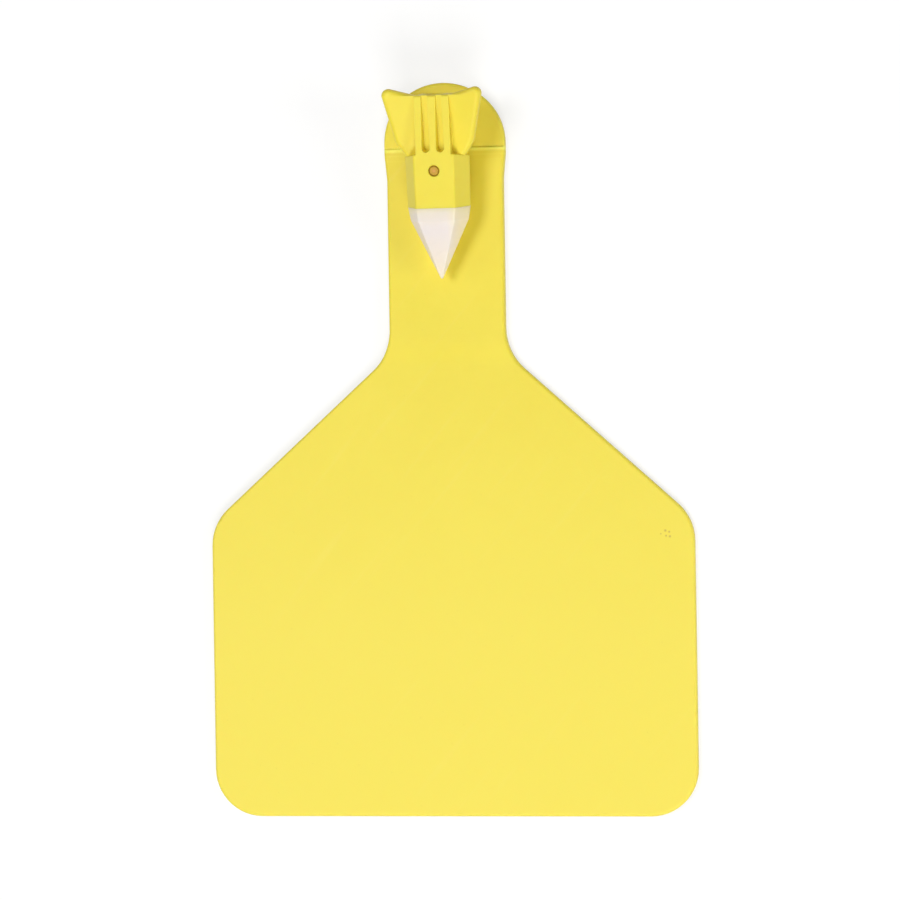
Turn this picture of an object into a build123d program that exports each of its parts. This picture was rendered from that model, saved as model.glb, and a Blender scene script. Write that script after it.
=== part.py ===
from build123d import *
from math import cos, radians, sin, tan
import os

# A one-piece livestock ear tag, lying on its back as it would on a bench. The soft plastic body is a broad
# writing panel, a neck, and a rounded end that leans forward above a crease. A short stem rises from that
# end and carries the anchor head, folded down over the neck: a socket, three ribs and two flared wings.
# A hard piercing tip sits in the socket on its shank, and a metal cross pin locks it there.
#
# Millimetres. X runs across the tag, Y from the panel's lower edge up to the rounded end, Z out of the
# front. Heights are measured from the panel's lower edge, and at the end everything is moved so that the
# origin is the middle of the footprint, with the tag's back on Z = 0.

# Plate: panel and neck
overall_length = 113.9
panel_width = 76.2
panel_thickness = 1.6
lower_corner_radius = 7.4
shoulder_height = 45.9
shoulder_radius = 7.8
neck_foot_height = 72.0
neck_foot_radius = 8.5
neck_width = 18.25
neck_thickness = 2.0
ramp_length = 5.0
plate_edge_radius = 0.45

# Rounded end: it is a little wider than the neck, thinner, and leans forward from the crease
end_width = 19.0
end_round_height = 9.1
end_side_length = 1.9
end_flare_length = 3.8
end_flare_radius = 6.0
crease_land = 1.0
step_round_share = 0.7
end_thickness = 1.7
fold_angle = 8.5
fold_radius = 9.0

# Stem: the waist that passes through the ear, measured along the leaning end from the crease
ear_gap = 4.4
stem_offset = 2.4
stem_width = 5.0
stem_length = 4.6
stem_corner_radius = 1.4
stem_flare = 0.6

# Head: its shoulder is where the socket ends and the ribbed barrel begins
shoulder_offset = 0.2
head_depth = 5.5
barrel_length = 8.8
barrel_edge_radius = 0.35

# Ribs and the grooves between them, which grow shallow towards the barrel's rear end
rib_count = 3
rib_width = 0.95
rib_pitch = 2.23
rib_fall = 0.15
rib_draft_angle = 8.0
groove_depth = 1.4
groove_foot_gap = 0.2
groove_rear_depth = 0.3

# Wings: sloping plates that hold behind the ear, each drawn out to a rounded ear at its outer rear corner
wing_span = 16.15
wing_waist_span = 12.2
wing_waist_height = 1.6
wing_waist_radius = 1.8
wing_thickness = 1.7
wing_drop = 2.0
wing_rise_angle = 10.5
wing_flare_angle = 7.0
ear_rise = 1.55
ear_radius = 1.0
wing_front_radius = 0.7
wing_back_radius = 0.4

# Socket and tip share one eight-sided section
socket_length = 8.5
socket_width = 10.0
front_flat_width = 6.3
back_flat_width = 5.6
front_slope_depth = 3.3
side_flat_depth = 0.8
section_corner_radius = 0.4
shoulder_level_width = 4.0
shoulder_fall = 0.7
shoulder_round_share = 0.5
mouth_share = 0.97

# Piercing tip
band_length = 2.0
band_share = 0.93
point_length = 9.1
point_share = 0.035
point_drop = 0.5
shank_radius = 1.8
shank_length = 7.3

# Cross pin, driven in from the socket's front
pin_radius = 0.8
pin_offset = 2.75
pin_length = 4.7
pin_sink = 0.08
pin_bevel = 0.2
pin_rim_chamfer = 0.14

# Pocket for the applicator's driving pin, open at the head's rear end
pocket_radius = 1.3
pocket_back_wall = 0.8
pocket_lead = 0.3

# Clearances and helpers
insert_clearance = 0.04
overrun = 1.0
near = 0.01

# Worked-out places
barrel_width = (rib_count - 1) * rib_pitch + rib_width
groove_width = rib_pitch - rib_width
fold_cos = cos(radians(fold_angle))
fold_sin = sin(radians(fold_angle))
step_run = (neck_thickness * fold_cos - end_thickness) / fold_sin
flare_top_height = overall_length - end_round_height - end_side_length
crease_height = flare_top_height + crease_land
profile_reach = overall_length - crease_height + neck_thickness
ramp_foot_height = neck_foot_height - ramp_length / 2
ramp_top_height = neck_foot_height + ramp_length / 2
front_z = head_depth / 2
back_z = -head_depth / 2
mouth_y = -socket_length
shank_end_y = mouth_y + shank_length
pocket_z = back_z + pocket_back_wall + pocket_radius
head_lift = end_thickness + ear_gap + head_depth / 2

fold_frame = Pos(0, crease_height, 0) * Rot(fold_angle, 0, 0)
head_frame = fold_frame * Pos(0, shoulder_offset, head_lift)
bench_frame = Pos(0, -overall_length / 2, 0)


# Plate

def tag_outline():
    """Outline of panel, neck and rounded end, seen from the front: one side and its mirror image."""
    half_panel = panel_width / 2
    half_neck = neck_width / 2
    half_end = end_width / 2
    side_points = [
        (0, 0),
        (half_panel, 0),
        (half_panel, shoulder_height),
        (half_neck, neck_foot_height),
        (half_neck, flare_top_height - end_flare_length),
        (half_end, flare_top_height),
        (half_end, overall_length - end_round_height),
    ]
    corner_radii = [lower_corner_radius, shoulder_radius, neck_foot_radius, end_flare_radius, end_flare_radius]
    side = FilletPolyline(*side_points, radius=corner_radii)
    round_centre = (0, overall_length - end_round_height)
    round_end = EllipticalCenterArc(round_centre, half_end, end_round_height, arc_size=90)
    half = Curve() + [side, round_end]
    return make_face(half + mirror(half, Plane.YZ))


def leaning_point(along, up):
    """Place in the side view of a point on the leaning end: along it from the crease, and up from its back."""
    return (crease_height + along * fold_cos - up * fold_sin, along * fold_sin + up * fold_cos)


def side_view():
    """Side view of the plate: panel, gentle ramp to the thicker neck, and the leaning end."""
    back = FilletPolyline((0, 0), (crease_height, 0), leaning_point(profile_reach, 0), radius=fold_radius)
    front_kink = (crease_height + step_run, neck_thickness)
    front = FilletPolyline(
        leaning_point(profile_reach, end_thickness),
        front_kink,
        (ramp_top_height, neck_thickness),
        radius=fold_radius,
    )
    ramp = Bezier(
        (ramp_top_height, neck_thickness),
        (neck_foot_height, neck_thickness),
        (neck_foot_height, panel_thickness),
        (ramp_foot_height, panel_thickness),
    )
    panel = Polyline((ramp_foot_height, panel_thickness), (0, panel_thickness), (0, 0))
    return make_face(Curve() + [back, Line(back @ 1, front @ 0), front, ramp, panel])


def is_outline_edge(edge):
    """True for an edge round the front or back face, false for upright edges and lines across the tag."""
    upright = abs(edge.tangent_at(0).Z) > 1 - near
    across = edge.geom_type == GeomType.LINE and abs(edge.center().X) < near and edge.center().Y > near
    return not upright and not across


def plate():
    """Panel, neck and leaning end with rounded edges, and the small step across the neck at the crease."""
    slab = extrude(tag_outline(), amount=profile_reach) & extrude(Plane.YZ * side_view(), panel_width, both=True)
    rounded = fillet(slab.edges().filter_by(is_outline_edge), plate_edge_radius)
    step_height = neck_thickness - end_thickness / fold_cos
    edge_round = step_height * step_round_share
    rounded_edge = Bezier(
        (crease_height, neck_thickness - edge_round),
        (crease_height, neck_thickness),
        (crease_height - edge_round, neck_thickness),
    )
    above_step = Polyline(
        rounded_edge @ 1,
        (crease_height - edge_round, neck_thickness + overrun),
        leaning_point(profile_reach, end_thickness + overrun),
        leaning_point(profile_reach, end_thickness),
        (crease_height, neck_thickness - step_height),
        rounded_edge @ 0,
    )
    step = make_face(rounded_edge + above_step)
    return rounded - extrude(Plane.YZ * step, end_width, both=True)


def stem():
    """Waisted stem between the leaning end and the back of the barrel."""
    foot_z = end_thickness / 2
    top_z = end_thickness + ear_gap + overrun
    waist_share = [1, 0, 0, 1]
    waist_z = [foot_z, end_thickness + ear_gap / 3, end_thickness + ear_gap * 2 / 3, top_z]
    sections = []
    for share, z in zip(waist_share, waist_z):
        grown = 2 * stem_flare * share
        section = RectangleRounded(stem_width + grown, stem_length + grown, stem_corner_radius)
        sections.append(Pos(0, stem_offset, z) * section)
    return fold_frame * loft(sections)


# Head, in its own frame: shoulder at Y = 0, tip towards -Y, front towards +Z

def barrel():
    """Barrel behind the shoulder, its front cut into ribs by grooves that grow shallow to the rear."""
    rear_front_z = front_z - rib_fall
    profile = make_face(
        Polyline(
            (-overrun, back_z),
            (barrel_length, back_z),
            (barrel_length, rear_front_z),
            (0, front_z),
            (-overrun, front_z),
            close=True,
        )
    )
    body = extrude(Plane.YZ * profile, amount=barrel_width / 2, both=True)
    rear_edges = body.faces().sort_by(Axis.Y)[-1].edges()
    body = fillet(rear_edges, barrel_edge_radius)

    groove_run = barrel_length - groove_foot_gap
    groove_slope = Vector(0, groove_run, groove_depth - rib_fall - groove_rear_depth)
    floor = Plane(
        origin=(0, groove_foot_gap, front_z - groove_depth),
        x_dir=(1, 0, 0),
        z_dir=groove_slope.rotate(Axis.X, 90),
    )
    floor_width = groove_width - 2 * groove_depth * tan(radians(rib_draft_angle))
    tool_length = groove_run + overrun
    straight = Pos(0, groove_width / 2 + tool_length / 2) * Rectangle(floor_width, tool_length)
    rounded_foot = Pos(0, groove_width / 2) * Circle(floor_width / 2)
    tool = extrude(floor * (straight + rounded_foot), amount=groove_depth + overrun, taper=-rib_draft_angle)
    for index in range(rib_count - 1):
        groove_x = (index - (rib_count - 2) / 2) * rib_pitch
        body -= Pos(groove_x, 0, 0) * tool
    return body


def wing():
    """Right-hand wing: a plate that rises towards its rear and outer edges, from the sloping shoulder up."""
    side_points = [
        (barrel_width / 4, 0),
        (shoulder_level_width / 2, 0),
        shoulder_point(socket_width / 2 - section_corner_radius),
        (wing_waist_span / 2, wing_waist_height),
        (wing_span / 2, barrel_length + ear_rise),
        (barrel_width / 2, barrel_length),
        (barrel_width / 4, barrel_length),
    ]
    corner_radii = [0, 0, 0, wing_waist_radius, ear_radius, 0, 0]
    outline = make_face(FilletPolyline(*side_points, radius=corner_radii, close=True))
    slope = Vector(-tan(radians(wing_flare_angle)), -tan(radians(wing_rise_angle)), 1)
    front_plane = Plane(origin=(barrel_width / 2, 0, front_z - wing_drop), z_dir=slope)
    slab = extrude(front_plane * Rectangle(2 * wing_span, 4 * wing_span), amount=-wing_thickness)
    plate = extrude(outline, amount=2 * head_depth, both=True) & slab
    front = plate.faces().sort_by(facing_front)[-1]
    plate = fillet(front.edges().filter_by(is_free_edge), wing_front_radius)
    back = plate.faces().sort_by(facing_front)[0]
    return fillet(back.edges().filter_by(is_free_edge), wing_back_radius)


def shoulder_point(x):
    """Point of the shoulder line that far from the middle: level at first, then sloping away."""
    slope = 2 * shoulder_fall / (socket_width - shoulder_level_width)
    return (x, -slope * max(0, x - shoulder_level_width / 2))


def facing_front(face):
    """How squarely a face looks out of the front: 1 straight at it, -1 at the back."""
    return face.normal_at().Z


def is_free_edge(edge):
    """True for a wing edge that stands clear of barrel and socket."""
    return edge.center().X > barrel_width / 2 + near and edge.center().Y > near


def head_section(along, share, drop):
    """Eight-sided section of socket and tip at a place on the head's axis, scaled by its share."""
    slope_foot_z = front_z - front_slope_depth
    right_points = [
        (front_flat_width / 2, front_z),
        (socket_width / 2, slope_foot_z),
        (socket_width / 2, slope_foot_z - side_flat_depth),
        (back_flat_width / 2, back_z),
    ]
    left_points = [(-x, z) for x, z in reversed(right_points)]
    section = make_face(Polyline(*right_points, *left_points, close=True))
    section = fillet(section.vertices(), section_corner_radius)
    place = Plane(origin=(0, along, -drop), x_dir=(1, 0, 0), z_dir=(0, -1, 0))
    return place * scale(section, share)


def socket():
    """Tapering socket with a softened shoulder that slopes away from the front flat on both sides."""
    body = loft([head_section(0, 1, 0), head_section(mouth_y, mouth_share, 0)], ruled=True)
    above_slope = make_face(
        Polyline(
            shoulder_point(shoulder_level_width / 2),
            shoulder_point(socket_width / 2 + overrun),
            (socket_width / 2 + overrun, overrun),
            (shoulder_level_width / 2, overrun),
            close=True,
        )
    )
    cut = extrude(above_slope, amount=head_depth, both=True)
    body -= cut + mirror(cut, Plane.YZ)
    rim = body.edges().filter_by(is_shoulder_rim)
    return fillet(rim, section_corner_radius * shoulder_round_share)


def is_shoulder_rim(edge):
    """True for an edge along the shoulder's front half, false for the lines across it where its slopes begin."""
    gaps = [abs(shoulder_point(abs(end.X))[1] - end.Y) for end in edge.vertices()]
    across = abs(edge.tangent_at(0).Z) > 1 - near
    return max(gaps) < near and edge.center().Z > 0 and not across


def shank(growth):
    """Round shank, grown all over by a clearance for the hollow that holds it."""
    return cylinder_along_y(shank_radius + growth, mouth_y, shank_end_y + growth, 0)


def cylinder_along_y(radius, start, stop, z):
    """Solid cylinder along the head's axis."""
    section = Plane(origin=(0, start, z), x_dir=(1, 0, 0), z_dir=(0, 1, 0)) * Circle(radius)
    return extrude(section, amount=stop - start)


def pin_hole(radius):
    """Blind cross hole from the socket's front through the shank."""
    bottom = front_z - pin_sink - pin_length
    section = Pos(0, -pin_offset, bottom) * Circle(radius)
    return extrude(section, amount=pin_length + pin_sink + overrun)


def pin_rim():
    """Small countersink round the pin's end."""
    outer = pin_radius + insert_clearance + pin_rim_chamfer
    cone = Cone(outer - pin_rim_chamfer, outer, pin_rim_chamfer)
    return Pos(0, -pin_offset, front_z - pin_rim_chamfer / 2) * cone


def driving_pocket():
    """Applicator pocket: a blind bore with a lead-in at the head's rear end."""
    bore = cylinder_along_y(pocket_radius, shank_end_y, barrel_length + overrun, pocket_z)
    mouth = Plane(origin=(0, barrel_length, pocket_z), x_dir=(1, 0, 0), z_dir=(0, -1, 0))
    lead = Cone(pocket_radius + pocket_lead, pocket_radius, pocket_lead)
    return bore + mouth * Pos(0, 0, pocket_lead / 2) * lead


# The three pieces

def make_tag_body():
    head = barrel() + socket() + wing() + mirror(wing(), Plane.YZ)
    body = plate() + stem() + head_frame * head
    hollows = shank(insert_clearance) + pin_hole(pin_radius + insert_clearance) + pin_rim() + driving_pocket()
    return body - head_frame * hollows


def make_piercing_tip():
    band_end_y = mouth_y - band_length
    mouth = head_section(mouth_y, mouth_share, 0)
    band_end = head_section(band_end_y, mouth_share * band_share, 0)
    point = head_section(band_end_y - point_length, point_share, point_drop)
    outside = loft([mouth, band_end], ruled=True) + loft([band_end, point], ruled=True)
    tip = outside + shank(0) - pin_hole(pin_radius + insert_clearance)
    return head_frame * tip


def make_tip_pin():
    """Plain pin with a bevelled rim at the end that shows."""
    bottom = front_z - pin_sink - pin_length
    pin = extrude(Pos(0, -pin_offset, bottom) * Circle(pin_radius), amount=pin_length)
    shown_rim = pin.faces().sort_by(Axis.Z)[-1].edges()
    return head_frame * chamfer(shown_rim, pin_bevel)


pieces = {
    "tag_body": make_tag_body(),
    "piercing_tip": make_piercing_tip(),
    "tip_pin": make_tip_pin(),
}

os.makedirs("parts", exist_ok=True)
for name, piece in pieces.items():
    placed = bench_frame * piece
    placed.label = name
    export_step(placed, f"parts/{name}.step")
    box = placed.bounding_box()
    print(name, "volume", round(placed.volume, 2), "low", box.min, "high", box.max)
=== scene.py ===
# %% [markdown]
# A livestock ear tag on a white bench
#
# The tag is one moulding of soft yellow plastic: a wide writing panel, a neck, and a folded-down anchor
# head with three ribs and two flared wings. A hard white point sits in the head's socket, and a small
# copper-coloured pin runs across it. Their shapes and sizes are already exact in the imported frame, so
# they stay as they are, and this script gives them their surfaces, their light and their camera.
#
# The first cell loads the frame. Everything is in metres: X runs across the tag, Y from the panel's
# lower edge to the rounded end, and Z out of the tag's front.

import math

import bpy
from mathutils import Matrix, Vector


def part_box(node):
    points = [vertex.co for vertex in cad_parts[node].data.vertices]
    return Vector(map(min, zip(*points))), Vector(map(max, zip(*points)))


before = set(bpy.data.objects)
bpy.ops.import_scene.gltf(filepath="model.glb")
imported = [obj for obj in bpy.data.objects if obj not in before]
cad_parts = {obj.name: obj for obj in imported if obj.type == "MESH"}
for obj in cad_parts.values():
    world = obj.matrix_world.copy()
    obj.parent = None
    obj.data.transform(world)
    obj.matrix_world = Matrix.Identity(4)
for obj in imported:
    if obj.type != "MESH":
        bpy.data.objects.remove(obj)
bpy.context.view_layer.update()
mm = 0.001
tag_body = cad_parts["tag_body"]
piercing_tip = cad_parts["piercing_tip"]
tip_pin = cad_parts["tip_pin"]
scene = bpy.context.scene
scene.view_settings.view_transform = "Standard"
bpy.ops.object.select_all(action="DESELECT")
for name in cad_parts:
    low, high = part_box(name)
    print(name, "size in mm:", [round(side / mm, 1) for side in high - low])

# %% [markdown]
# A bench to lie on
#
# The tag rests on a plain flat surface.

# %% Lay the bench
bench_side = 6.0
bpy.ops.mesh.primitive_plane_add(size=bench_side, location=(0, 0, 0))
bench = bpy.context.object
bench.name = "bench"
print("bench laid:", bench_side, "m square")

# %% [markdown]
# White for the bench
#
# Seen by the camera the bench should be a clean white that still keeps the soft shadow at the tag's
# edges. More light would only bleach the yellow, so the white comes from the surface itself. A Light Path
# node tells which kind of ray arrives. Camera, mirror and glass rays find a darker grey with a glow added,
# and the two together come to white. The rays that carry light between things find an ordinary pale grey.

# %% Paint the bench
pale_grey = (0.8, 0.8, 0.8, 1)
shown_grey = (0.34, 0.34, 0.34, 1)
glow_strength = 0.68

bench_white = bpy.data.materials.new("bench_white")
bench_white.use_nodes = True
nodes = bench_white.node_tree.nodes
links = bench_white.node_tree.links
nodes.clear()
pale = nodes.new("ShaderNodeBsdfDiffuse")
pale.inputs["Color"].default_value = pale_grey
shown_pale = nodes.new("ShaderNodeBsdfDiffuse")
shown_pale.inputs["Color"].default_value = shown_grey
glow = nodes.new("ShaderNodeEmission")
glow.inputs["Strength"].default_value = glow_strength
shown = nodes.new("ShaderNodeAddShader")
path = nodes.new("ShaderNodeLightPath")
seen = nodes.new("ShaderNodeMath")
seen.operation = "MAXIMUM"
seen_or_glass = nodes.new("ShaderNodeMath")
seen_or_glass.operation = "MAXIMUM"
choose = nodes.new("ShaderNodeMixShader")
output = nodes.new("ShaderNodeOutputMaterial")
links.new(shown_pale.outputs[0], shown.inputs[0])
links.new(glow.outputs[0], shown.inputs[1])
links.new(path.outputs["Is Camera Ray"], seen.inputs[0])
links.new(path.outputs["Is Glossy Ray"], seen.inputs[1])
links.new(seen.outputs[0], seen_or_glass.inputs[0])
links.new(path.outputs["Is Transmission Ray"], seen_or_glass.inputs[1])
links.new(seen_or_glass.outputs[0], choose.inputs["Fac"])
links.new(pale.outputs[0], choose.inputs[1])
links.new(shown.outputs[0], choose.inputs[2])
links.new(choose.outputs[0], output.inputs["Surface"])
bench.data.materials.append(bench_white)
print("bench painted with", len(nodes), "nodes")

# %% [markdown]
# Tools for wiring nodes
#
# A procedural finish is a chain of small sums: a noise, times a number, plus another noise. Each sum is
# a node, and each node takes several lines to place, set and link. These three helpers make a node
# group with its sockets, a Math node and a Noise node in one line each, so the cells that follow can be
# read as what the finish is made of.

# %% Define the wiring tools
def new_group(name, inputs, outputs):
    """A shader node group with float inputs (name: default), one vector input, and float outputs."""
    group = bpy.data.node_groups.new(name, "ShaderNodeTree")
    group.interface.new_socket(name="Place", in_out="INPUT", socket_type="NodeSocketVector")
    for socket_name, value in inputs.items():
        socket = group.interface.new_socket(name=socket_name, in_out="INPUT", socket_type="NodeSocketFloat")
        socket.default_value = value
    for socket_name in outputs:
        group.interface.new_socket(name=socket_name, in_out="OUTPUT", socket_type="NodeSocketFloat")
    return group, group.nodes.new("NodeGroupInput"), group.nodes.new("NodeGroupOutput")


def math_node(tree, operation, first, second):
    """A Math node in a node tree; each input is a number or a socket."""
    node = tree.nodes.new("ShaderNodeMath")
    node.operation = operation
    for socket, value in zip(node.inputs, (first, second)):
        if isinstance(value, (int, float)):
            socket.default_value = value
        else:
            tree.links.new(value, socket)
    return node.outputs[0]


def noise_node(tree, place, scale, detail):
    """A noise on the given coordinates; its scale is a number or a socket, in waves a metre."""
    node = tree.nodes.new("ShaderNodeTexNoise")
    node.inputs["Detail"].default_value = detail
    tree.links.new(place, node.inputs["Vector"])
    if isinstance(scale, (int, float)):
        node.inputs["Scale"].default_value = scale
    else:
        tree.links.new(scale, node.inputs["Scale"])
    return node.outputs["Fac"]


print("wiring tools ready for groups, sums and noises")

# %% [markdown]
# A group for fine grain
#
# Both plastics come out of a mould whose walls are very slightly rough, so both have the same fine
# grain, only stronger on the soft yellow. It could be written twice, but a node group is built once and
# takes its own numbers in each material. Two noises of different size, mixed, look less regular than
# one. The group gives a height for the bump, and a tone that varies colour and roughness a little.

# %% Build the grain group
fine_share = 0.6
coarse_to_fine = 0.31

grain, grain_in, grain_out = new_group("mould_grain", {"Scale": 2500.0}, ["Height", "Tone"])
fine = noise_node(grain, grain_in.outputs["Place"], grain_in.outputs["Scale"], detail=2.0)
coarse_scale = math_node(grain, "MULTIPLY", grain_in.outputs["Scale"], coarse_to_fine)
coarse = noise_node(grain, grain_in.outputs["Place"], coarse_scale, detail=3.0)
fine_part = math_node(grain, "MULTIPLY", fine, fine_share)
coarse_part = math_node(grain, "MULTIPLY", coarse, 1 - fine_share)
grain.links.new(math_node(grain, "ADD", fine_part, coarse_part), grain_out.inputs["Height"])
grain.links.new(coarse, grain_out.inputs["Tone"])
print("grain group has", len(grain.nodes), "nodes")

# %% [markdown]
# A group for slow changes of tone
#
# Moulded plastic is never one flat colour. Where it flowed and cooled its tone drifts over centimetres,
# and handling leaves small paler patches. This group mixes a broad noise with a smaller one, by the
# share that Patches sets, and gives one value around a half. Each material turns that value into two
# tones of its own.

# %% Build the drift group
patches_to_broad = 6.0

drift, drift_in, drift_out = new_group("tone_drift", {"Scale": 40.0, "Patches": 0.35}, ["Tone"])
broad = noise_node(drift, drift_in.outputs["Place"], drift_in.outputs["Scale"], detail=2.0)
patch_scale = math_node(drift, "MULTIPLY", drift_in.outputs["Scale"], patches_to_broad)
patches = noise_node(drift, drift_in.outputs["Place"], patch_scale, detail=4.0)
patch_part = math_node(drift, "MULTIPLY", patches, drift_in.outputs["Patches"])
broad_share = math_node(drift, "SUBTRACT", 1.0, drift_in.outputs["Patches"])
broad_part = math_node(drift, "MULTIPLY", broad, broad_share)
drift.links.new(math_node(drift, "ADD", broad_part, patch_part), drift_out.inputs["Tone"])
print("drift group has", len(drift.nodes), "nodes")

# %% [markdown]
# A group for rubbed edges
#
# Edges touch everything first, so on soft plastic they turn a little paler and smoother. To find them the
# group asks the Bevel node for the normal that a rounder edge would have, and compares it with the real
# one: on a flat face the two agree, and along an edge they part. A noise varies the line gently, because
# no edge is rubbed evenly.

# %% Build the edge group
def clamped(tree, value):
    """A value kept between zero and one."""
    return math_node(tree, "MINIMUM", math_node(tree, "MAXIMUM", value, 0.0), 1.0)


edge_defaults = {"Width": 0.3 * mm, "Gain": 4.0, "Scale": 600.0}
bevel_samples = 6
wear_swing = 0.7
least_wear = 0.4

edges, edges_in, edges_out = new_group("edge_rub", edge_defaults, ["Mask"])
rounder = edges.nodes.new("ShaderNodeBevel")
rounder.samples = bevel_samples
edges.links.new(edges_in.outputs["Width"], rounder.inputs["Radius"])
agree = edges.nodes.new("ShaderNodeVectorMath")
agree.operation = "DOT_PRODUCT"
edges.links.new(rounder.outputs["Normal"], agree.inputs[0])
edges.links.new(edges.nodes.new("ShaderNodeNewGeometry").outputs["Normal"], agree.inputs[1])
parted = math_node(edges, "SUBTRACT", 1.0, agree.outputs["Value"])
gained = math_node(edges, "MULTIPLY", parted, edges_in.outputs["Gain"])
broken = noise_node(edges, edges_in.outputs["Place"], edges_in.outputs["Scale"], detail=3.0)
wear = math_node(edges, "ADD", math_node(edges, "MULTIPLY", broken, wear_swing), least_wear)
rubbed = clamped(edges, math_node(edges, "MULTIPLY", gained, wear))
edges.links.new(rubbed, edges_out.inputs["Mask"])
print("edge group has", len(edges.nodes), "nodes")

# %% [markdown]
# A group for scuffs
#
# A tag rubs on whatever it lies against in its box, which leaves faint streaks and a few tiny flecks. For
# the streaks a noise is stretched along one direction by a Mapping node, and only its highest crests are
# kept. For the flecks a Voronoi texture gives the distance to scattered points, and only the very nearest
# places count. Both are weak: they should be felt before they are seen.

# %% Build the scuff group
streak_waves = (900.0, 36.0, 300.0)
crest_level = 0.66
crest_gain = 12.0
fleck_reach = 0.055
fleck_gain = 60.0

scuff_defaults = {"Turn": 0.6, "Fleck Scale": 330.0}
scuffs, scuffs_in, scuffs_out = new_group("light_scuffs", scuff_defaults, ["Streaks", "Flecks"])
turn = scuffs.nodes.new("ShaderNodeVectorRotate")
turn.rotation_type = "Z_AXIS"
scuffs.links.new(scuffs_in.outputs["Place"], turn.inputs["Vector"])
scuffs.links.new(scuffs_in.outputs["Turn"], turn.inputs["Angle"])
stretch = scuffs.nodes.new("ShaderNodeMapping")
stretch.inputs["Scale"].default_value = streak_waves
scuffs.links.new(turn.outputs["Vector"], stretch.inputs["Vector"])
stretched = noise_node(scuffs, stretch.outputs["Vector"], 1.0, detail=1.0)
crests = math_node(scuffs, "SUBTRACT", stretched, crest_level)
streaks = clamped(scuffs, math_node(scuffs, "MULTIPLY", crests, crest_gain))
scuffs.links.new(streaks, scuffs_out.inputs["Streaks"])
scatter = scuffs.nodes.new("ShaderNodeTexVoronoi")
scuffs.links.new(scuffs_in.outputs["Place"], scatter.inputs["Vector"])
scuffs.links.new(scuffs_in.outputs["Fleck Scale"], scatter.inputs["Scale"])
near_points = math_node(scuffs, "SUBTRACT", fleck_reach, scatter.outputs["Distance"])
flecks = clamped(scuffs, math_node(scuffs, "MULTIPLY", near_points, fleck_gain))
scuffs.links.new(flecks, scuffs_out.inputs["Flecks"])
print("scuff group has", len(scuffs.nodes), "nodes")

# %% [markdown]
# Soft yellow
#
# The body's plastic is flexible, matte and a little waxy. Its colour is two yellows that drift into each
# other, with a trace of the grain in them. They are close together on purpose: the real panel varies by
# only a few hundredths. Every material starts in the same way, with its Principled shader and with the
# Object coordinates, which stay on the tag however it is moved or seen.

# %% Mix the two yellows
def start_material(name):
    """A material with its Principled shader and the place on the object, ready to be wired."""
    material = bpy.data.materials.new(name)
    material.use_nodes = True
    tree = material.node_tree
    shader = tree.nodes["Principled BSDF"]
    place = tree.nodes.new("ShaderNodeTexCoord").outputs["Object"]
    return material, tree, shader, place


def use_group(tree, group, place, **values):
    """Places a node group in a material with its own values and returns its outputs."""
    node = tree.nodes.new("ShaderNodeGroup")
    node.node_tree = group
    tree.links.new(place, node.inputs["Place"])
    for socket_name, value in values.items():
        node.inputs[socket_name].default_value = value
    return node.outputs


def two_tone(tree, value, dark, light, low=0.3, high=0.7):
    """Turns a value into a colour: dark up to low, light from high on, and a blend between."""
    ramp = tree.nodes.new("ShaderNodeValToRGB")
    ramp.color_ramp.elements[0].position = low
    ramp.color_ramp.elements[1].position = high
    ramp.color_ramp.elements[0].color = (*dark, 1)
    ramp.color_ramp.elements[1].color = (*light, 1)
    tree.links.new(value, ramp.inputs["Fac"])
    return ramp.outputs["Color"]


deeper_yellow = (0.842, 0.700, 0.048)
lighter_yellow = (0.887, 0.747, 0.066)
grain_in_colour = 0.25

soft_yellow, tree, shader, place = start_material("soft_yellow_moulding")
grain_values = use_group(tree, grain, place, Scale=2200.0)
drift_values = use_group(tree, drift, place, Scale=35.0)
grain_trace = math_node(tree, "MULTIPLY", grain_values["Tone"], grain_in_colour)
yellow_tone = math_node(tree, "ADD", drift_values["Tone"], grain_trace)
yellow = two_tone(tree, yellow_tone, deeper_yellow, lighter_yellow, low=0.4, high=0.85)
print("soft yellow drifts from", deeper_yellow, "to", lighter_yellow)

# %% [markdown]
# The panel's painted sheen, and wear
#
# Over the whole tag there is one slow change, and it is painted sheen: the panel is painted a shade paler
# and whiter than the neck and the head, in place of the sheen that a large soft lamp lays on it. A ramp
# along Y lays that lighter yellow in, from the neck's foot down to the lower panel. Streaks, flecks and
# rubbed edges come over it. Each is a layer: a mask, a strength, and the plain colour that a Mix node lays
# in where the mask is one. The Mix node also keeps its factor between zero and one. It has sockets for
# numbers, vectors and colours, several of them with the same name, so those for colours are called by
# their place in its lists.

# %% Lay the panel's painted sheen and the wear over it
mix_factor = 0
mix_under = 6
mix_over = 7
mix_result = 2


def lay_over(tree, colour, layers):
    """Lays (mask, strength, plain colour) layers over a colour socket, one after another."""
    for mask, strength, over in layers:
        node = tree.nodes.new("ShaderNodeMix")
        node.data_type = "RGBA"
        tree.links.new(math_node(tree, "MULTIPLY", mask, strength), node.inputs[mix_factor])
        tree.links.new(colour, node.inputs[mix_under])
        node.inputs[mix_over].default_value = (*over, 1)
        colour = node.outputs[mix_result]
    return colour


def ramp_mask(tree, value, zero_at, one_at):
    """Zero on one side of two values, one on the other side, and a straight ramp between them."""
    node = tree.nodes.new("ShaderNodeMapRange")
    tree.links.new(value, node.inputs["Value"])
    node.inputs["From Min"].default_value = zero_at
    node.inputs["From Max"].default_value = one_at
    return node.outputs["Result"]


def along_axis(tree, place, axis):
    """One coordinate, X, Y or Z, of a place."""
    node = tree.nodes.new("ShaderNodeSeparateXYZ")
    tree.links.new(place, node.inputs["Vector"])
    return node.outputs[axis]


neck_foot_y = 24 * mm
pale_from_y = -30 * mm
panel_sheen_yellow = (0.892, 0.752, 0.092)
streak_yellow = (0.92, 0.80, 0.16)
fleck_brown = (0.55, 0.38, 0.06)
edge_yellow = (0.93, 0.80, 0.12)

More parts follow.
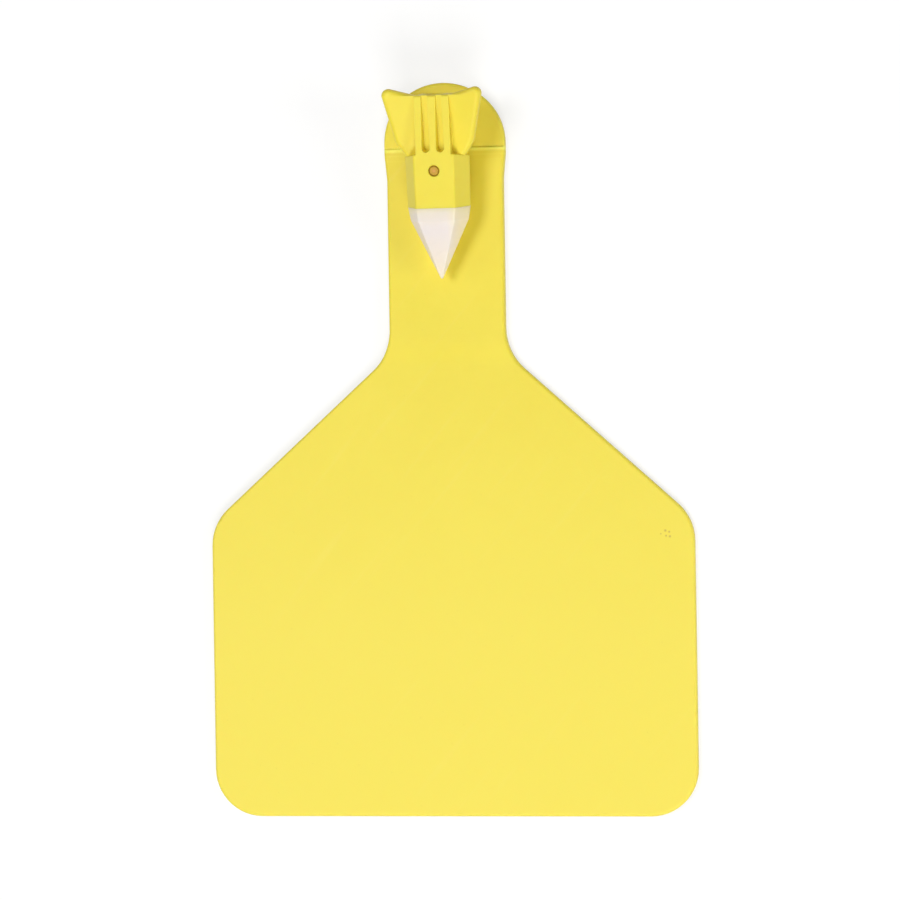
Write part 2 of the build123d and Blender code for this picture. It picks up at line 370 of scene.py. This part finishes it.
length_place = along_axis(tree, place, "Y")
panel_sheen_part = ramp_mask(tree, length_place, neck_foot_y, pale_from_y)
scuff_values = use_group(tree, scuffs, place, Turn=0.7)
edge_mask = use_group(tree, edges, place, Width=0.35 * mm)["Mask"]
# The first layer is painted sheen: a paler, whiter yellow on the lower panel.
yellow_layers = (
    (panel_sheen_part, 0.9, panel_sheen_yellow),
    (scuff_values["Streaks"], 0.06, streak_yellow),
    (scuff_values["Flecks"], 0.08, fleck_brown),
    (edge_mask, 0.22, edge_yellow),
)
yellow = lay_over(tree, yellow, yellow_layers)
print("soft yellow so far has", len(tree.nodes), "nodes")

# %% [markdown]
# Painted highlights where the plastic was folded
#
# The moulding is folded forward at the crease, and the rounded edge of its step catches the light there.
# That shows as a thin bright line across the neck's end, with fainter ones just below, and all of them
# are painted highlights. Each is a mask on the Object coordinate Y: how near a place is to a line,
# squeezed to a narrow band. A limit on Z keeps them to the plate, so that the head above stays plain, and
# a noise makes them uneven along their length.

# %% Draw the crease highlights
def band_mask(tree, value, centre, half_width):
    """One on the centre of a band of values, falling to zero at its borders."""
    off = math_node(tree, "ABSOLUTE", math_node(tree, "SUBTRACT", value, centre), 0.0)
    share = math_node(tree, "DIVIDE", off, half_width)
    return math_node(tree, "MAXIMUM", math_node(tree, "SUBTRACT", 1.0, share), 0.0)


crease_y = 46.95 * mm
plate_top = 3.2 * mm
unevenness_scale = 900.0
least_highlight = 0.45
crease_highlight_yellow = (1.0, 0.92, 0.13)
crease_highlight_lines = (
    {"below": 0.22 * mm, "half_width": 0.52 * mm, "strength": 1.5},
    {"below": 1.15 * mm, "half_width": 0.20 * mm, "strength": 0.18},
    {"below": 1.95 * mm, "half_width": 0.16 * mm, "strength": 0.10},
)

on_plate = math_node(tree, "LESS_THAN", along_axis(tree, place, "Z"), plate_top)
uneven = math_node(tree, "ADD", noise_node(tree, place, unevenness_scale, detail=2.0), least_highlight)
# Each line is a painted highlight along the crease's step.
for line in crease_highlight_lines:
    band = band_mask(tree, length_place, crease_y - line["below"], line["half_width"])
    painted_highlight = math_node(tree, "MULTIPLY", math_node(tree, "MULTIPLY", band, on_plate), uneven)
    yellow = lay_over(tree, yellow, [(painted_highlight, line["strength"], crease_highlight_yellow)])
print(len(crease_highlight_lines), "crease lines at and below Y =", round(crease_y / mm, 2), "mm")

# %% [markdown]
# A few specks
#
# Some tiny grey-orange specks sit near the panel's right shoulder. They are too few for a texture, so
# each is a mask on the distance from one fixed place on the panel's top.

# %% Set the specks
def spot_mask(tree, place, centre, radius):
    """One at a place and zero a radius away from it."""
    gap = tree.nodes.new("ShaderNodeVectorMath")
    gap.operation = "DISTANCE"
    tree.links.new(place, gap.inputs[0])
    gap.inputs[1].default_value = centre
    share = math_node(tree, "DIVIDE", gap.outputs["Value"], radius)
    return math_node(tree, "MAXIMUM", math_node(tree, "SUBTRACT", 1.0, share), 0.0)


panel_top = 1.6 * mm
speck_strength = 0.8
speck_brown = (0.45, 0.30, 0.07)
specks = (
    {"x": 33.6 * mm, "y": -12.9 * mm, "radius": 0.28 * mm},
    {"x": 34.2 * mm, "y": -13.1 * mm, "radius": 0.24 * mm},
    {"x": 33.7 * mm, "y": -13.7 * mm, "radius": 0.22 * mm},
    {"x": 34.3 * mm, "y": -13.8 * mm, "radius": 0.26 * mm},
    {"x": 32.9 * mm, "y": -13.4 * mm, "radius": 0.16 * mm},
)

for speck in specks:
    spot = spot_mask(tree, place, (speck["x"], speck["y"], panel_top), speck["radius"])
    yellow = lay_over(tree, yellow, [(spot, speck_strength, speck_brown)])
tree.links.new(yellow, shader.inputs["Base Color"])
print(len(specks), "specks set on the panel")

# %% [markdown]
# The soft yellow's surface
#
# Light goes into this plastic, spreads a millimetre or so and comes out again, which softens the ribs
# and keeps the shadows warm. That is subsurface scattering, and it is set on the shader itself, as is the
# gloss. Roughness is one plain value with small changes from the masks: the grain dulls it a little,
# and streaks and rubbed edges are smoother. The grain's height bumps the surface by a fiftieth of a
# millimetre.

# %% Finish the soft yellow
def let_light_in(shader, weight, spread, depth):
    """Subsurface scattering: its share, how far red, green and blue spread, and the scale in metres."""
    shader.inputs["Subsurface Weight"].default_value = weight
    shader.inputs["Subsurface Radius"].default_value = spread
    shader.inputs["Subsurface Scale"].default_value = depth


def add_roughness(tree, shader, plain, *changes):
    """Roughness from a plain value and (mask, change) pairs."""
    value = plain
    for mask, change in changes:
        value = math_node(tree, "ADD", math_node(tree, "MULTIPLY", mask, change), value)
    tree.links.new(value, shader.inputs["Roughness"])


def add_bump(tree, shader, height, depth):
    """Bumps the shader's normal by a height of that depth in metres."""
    bump = tree.nodes.new("ShaderNodeBump")
    bump.inputs["Distance"].default_value = depth
    tree.links.new(height, bump.inputs["Height"])
    tree.links.new(bump.outputs["Normal"], shader.inputs["Normal"])


yellow_gloss = 0.42
yellow_roughness = 0.5
streak_depth = 0.15

let_light_in(shader, weight=0.25, spread=(1.5, 1.0, 0.25), depth=0.8 * mm)
shader.inputs["Specular IOR Level"].default_value = yellow_gloss
roughness_changes = (grain_values["Tone"], 0.06), (scuff_values["Streaks"], -0.05), (edge_mask, -0.08)
add_roughness(tree, shader, yellow_roughness, *roughness_changes)
scratched = math_node(tree, "MULTIPLY", scuff_values["Streaks"], streak_depth)
surface = math_node(tree, "SUBTRACT", grain_values["Height"], scratched)
add_bump(tree, shader, surface, depth=0.02 * mm)
tag_body.material_slots[0].material = soft_yellow
print("soft yellow has", len(tree.nodes), "nodes")

# %% [markdown]
# Hard white
#
# The point is a harder, smoother plastic, slightly milky. It is not pure white: it leans to a warm
# pinkish grey. It is a little see-through as well, and yellow light bounced from the neck and the
# socket is painted into it as a tint: along its low flanks, on the right flank, and next to the yellow
# socket, where it is strong at first and fades over three millimetres. Ramps along Z, X and Y lay that
# painted bounce light in, two of them along Y.

# %% Mix the hard white
pinkish_white = (0.805, 0.735, 0.706)
clean_white = (0.845, 0.780, 0.755)
bounce_yellow = (0.92, 0.78, 0.39)
rubbed_white = (0.88, 0.83, 0.81)
scuffed_white = (0.68, 0.62, 0.58)
socket_mouth_y = 37.2 * mm
tint_below_top = 1.5 * mm
tint_right_of_middle = 1.6 * mm
right_flank_x = 3.6 * mm
root_length = 3.0 * mm
joint_length = 0.9 * mm

hard_white, tree, shader, place = start_material("hard_white_point")
drift_values = use_group(tree, drift, place, Scale=160.0)
white = two_tone(tree, drift_values["Tone"], pinkish_white, clean_white)
tip_low, tip_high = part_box("piercing_tip")
length_place = along_axis(tree, place, "Y")
low_bounce_part = ramp_mask(tree, along_axis(tree, place, "Z"), tip_high.z - tint_below_top, tip_low.z)
right_bounce_part = ramp_mask(tree, along_axis(tree, place, "X"), tint_right_of_middle, right_flank_x)
root_bounce_part = ramp_mask(tree, length_place, socket_mouth_y - root_length, socket_mouth_y)
joint_bounce_part = ramp_mask(tree, length_place, socket_mouth_y - joint_length, socket_mouth_y)
edge_mask = use_group(tree, edges, place, Width=0.22 * mm, Scale=1400.0)["Mask"]
scuff_values = use_group(tree, scuffs, place, Turn=1.1)
# The first four layers are painted bounce light, yellow from the neck and the socket.
white_layers = (
    (low_bounce_part, 0.45, bounce_yellow),
    (right_bounce_part, 0.55, bounce_yellow),
    (root_bounce_part, 0.35, bounce_yellow),
    (joint_bounce_part, 0.6, bounce_yellow),
    (edge_mask, 0.25, rubbed_white),
    (scuff_values["Streaks"], 0.08, scuffed_white),
)
white = lay_over(tree, white, white_layers)
tree.links.new(white, shader.inputs["Base Color"])
print("hard white has", len(white_layers), "layers over its two tones")

# %% [markdown]
# The hard white's surface
#
# A hard plastic has a soft sheen, so it is smoother than the body, and its grain is about a third as
# deep. Light enters it more freely than the yellow, and red, green and blue spread almost equally far,
# which gives the milky look.

# %% Finish the hard white
white_roughness = 0.36

grain_values = use_group(tree, grain, place, Scale=1500.0)
let_light_in(shader, weight=0.45, spread=(1.4, 1.15, 0.95), depth=1.2 * mm)
add_roughness(tree, shader, white_roughness, (grain_values["Tone"], 0.08), (scuff_values["Streaks"], 0.12))
add_bump(tree, shader, grain_values["Height"], depth=0.006 * mm)
piercing_tip.material_slots[0].material = hard_white
print("hard white has", len(tree.nodes), "nodes")

# %% [markdown]
# Copper-coloured pin
#
# Only the pin's end shows. Such pins are cut off on a lathe, which leaves fine rings round the centre. A
# Wave texture in rings makes them, once a Mapping node has moved the pattern's centre onto the pin's end.
# One wave of this texture is 0.31 long divided by its scale, so a scale of 1200 sets the rings about a
# quarter of a millimetre apart. They turn into two tones of copper, and are a little raised as well.

# %% Turn the copper's rings
pin_end = Vector((0, 42.73 * mm, 11.02 * mm))
ring_scale = 1200.0
ring_wobble = 1.5
deep_copper = (0.54, 0.275, 0.065)
bright_copper = (0.62, 0.345, 0.10)

copper, tree, shader, place = start_material("copper_pin_metal")
centred = tree.nodes.new("ShaderNodeMapping")
centred.inputs["Location"].default_value = -pin_end
tree.links.new(place, centred.inputs["Vector"])
rings = tree.nodes.new("ShaderNodeTexWave")
rings.wave_type = "RINGS"
rings.rings_direction = "Z"
rings.inputs["Scale"].default_value = ring_scale
rings.inputs["Distortion"].default_value = ring_wobble
tree.links.new(centred.outputs["Vector"], rings.inputs["Vector"])
copper_tone = two_tone(tree, rings.outputs["Fac"], deep_copper, bright_copper, low=0.0, high=1.0)
add_bump(tree, shader, rings.outputs["Fac"], depth=0.008 * mm)
print("pin's end is at", [round(value / mm, 2) for value in pin_end], "mm")

# %% [markdown]
# The pin's golden ring and its rim: painted shade and painted light
#
# The metal is bright in the middle only. A darker golden ring lies round it, which the distance from the
# end's centre gives: it is painted shade from the wall of the hole, over a copper edge that is a little
# darker. The bevelled rim is dull and sits in a narrow groove. Bare metal there would mirror the dark
# distance and turn black, so where the edge group finds the rim it is less metallic and painted paler,
# painted light that lifts the groove's shade.

# %% Finish the copper
pin_radius = 0.8 * mm
ring_starts = 0.80
ring_full = 0.45
edge_and_shade_ring = (0.49, 0.31, 0.04)
painted_light_rim = (0.78, 0.50, 0.085)
pin_metallic = 0.85
rim_metallic_loss = 0.8
pin_roughness = 0.56

centre_nearness = spot_mask(tree, place, pin_end, pin_radius)
outer_shade_ring = ramp_mask(tree, centre_nearness, ring_starts, ring_full)
rim_mask = use_group(tree, edges, place, Width=0.18 * mm, Gain=8.0)["Mask"]
# The ring is painted shade over a darker copper edge; the rim's paler colour is painted light.
copper_layers = (
    (outer_shade_ring, 0.85, edge_and_shade_ring),
    (rim_mask, 0.9, painted_light_rim),
)
copper_tone = lay_over(tree, copper_tone, copper_layers)
tree.links.new(copper_tone, shader.inputs["Base Color"])
rim_loss = math_node(tree, "MULTIPLY", rim_mask, rim_metallic_loss)
tree.links.new(math_node(tree, "SUBTRACT", pin_metallic, rim_loss), shader.inputs["Metallic"])
add_roughness(tree, shader, pin_roughness, (rim_mask, 0.08))
tip_pin.material_slots[0].material = copper
print("copper has", len(tree.nodes), "nodes")

# %% [markdown]
# Light
#
# The panel looks even and the shadows are soft, so the light comes from four large lamps. The strongest
# stands beyond the panel's lower edge, about fifty degrees up, and throws the head's shadow up over the
# rounded end. The second hangs nearly overhead, a little to the left, and throws the soft shadow beside
# the head to the right. A low one on the right lifts the socket's right flank, and a weak one stands on
# the left. Each lamp's power follows from its distance, so that together they light a surface facing up
# at a plain level: a colour renders about as it is written.

# %% Hang the lamps
def hang_lamp(name, tilt, lean, distance, width, share):
    """A square lamp aimed at the tag. tilt is its angle to the right of straight up, lean its angle
    towards the rounded end, and share the part of the plain light level that it gives at the tag."""
    across = math.sin(math.radians(tilt))
    along = math.sin(math.radians(lean))
    up = math.sqrt(1 - across**2 - along**2)
    lamp = bpy.data.lights.new(name, "AREA")
    lamp.size = width
    lamp.energy = math.pi**2 * distance**2 * share
    holder = bpy.data.objects.new(name, lamp)
    scene.collection.objects.link(holder)
    holder.location = Vector((across, along, up)) * distance
    holder.rotation_euler = holder.location.to_track_quat("Z", "Y").to_euler()
    print(name, "gives", share, "of the light,", round(lamp.energy, 2), "W")


hang_lamp("front_softbox", tilt=9, lean=-39, distance=0.8, width=0.36, share=0.53)
hang_lamp("top_softbox", tilt=-18, lean=6, distance=1.0, width=0.32, share=0.385)
hang_lamp("left_softbox", tilt=-45, lean=12, distance=1.0, width=0.30, share=0.10)
hang_lamp("right_side_softbox", tilt=58, lean=-5, distance=1.0, width=0.34, share=0.28)

# %% [markdown]
# Sky
#
# A pale, slightly warm sky fills what the lamps leave dark. It is weak, so the shadows keep their shape.

# %% Fill in the sky
sky_colour = (1.0, 0.97, 0.88, 1)
sky_strength = 0.10

sky = bpy.data.worlds.new("pale_sky")
scene.world = sky
sky.use_nodes = True
sky.node_tree.nodes["Background"].inputs["Color"].default_value = sky_colour
sky.node_tree.nodes["Background"].inputs["Strength"].default_value = sky_strength
print("sky strength", sky_strength)

# %% [markdown]
# Camera
#
# The photograph was taken from almost straight above, with the tag well to the left of the lens, so we
# look at it from about ten degrees to its right. The camera stands at that real distance, which keeps
# the head's slight shift over the neck, and a longer lens only makes the tag fill more of the picture.

# %% Set the camera
camera_place = Vector((108 * mm, 0, 600 * mm))
aim = Vector((0, 0, 0.8 * mm))
picture_height = 140 * mm
picture_turn = 0.9
film_width = 36.0

lens_data = bpy.data.cameras.new("bench_camera")
camera = bpy.data.objects.new("bench_camera", lens_data)
scene.collection.objects.link(camera)
look = camera_place - aim
lens_data.sensor_width = film_width
lens_data.lens = film_width * look.length / picture_height
lens_data.clip_start = 10 * mm
side = Vector((0, 1, 0)).cross(look).normalized()
upright = look.cross(side).normalized()
basis = Matrix((side, upright, look.normalized())).transposed()
turned = basis @ Matrix.Rotation(math.radians(-picture_turn), 3, "Z")
camera.location = camera_place
camera.rotation_euler = turned.to_euler()
scene.camera = camera
print("lens", round(lens_data.lens, 1), "mm")
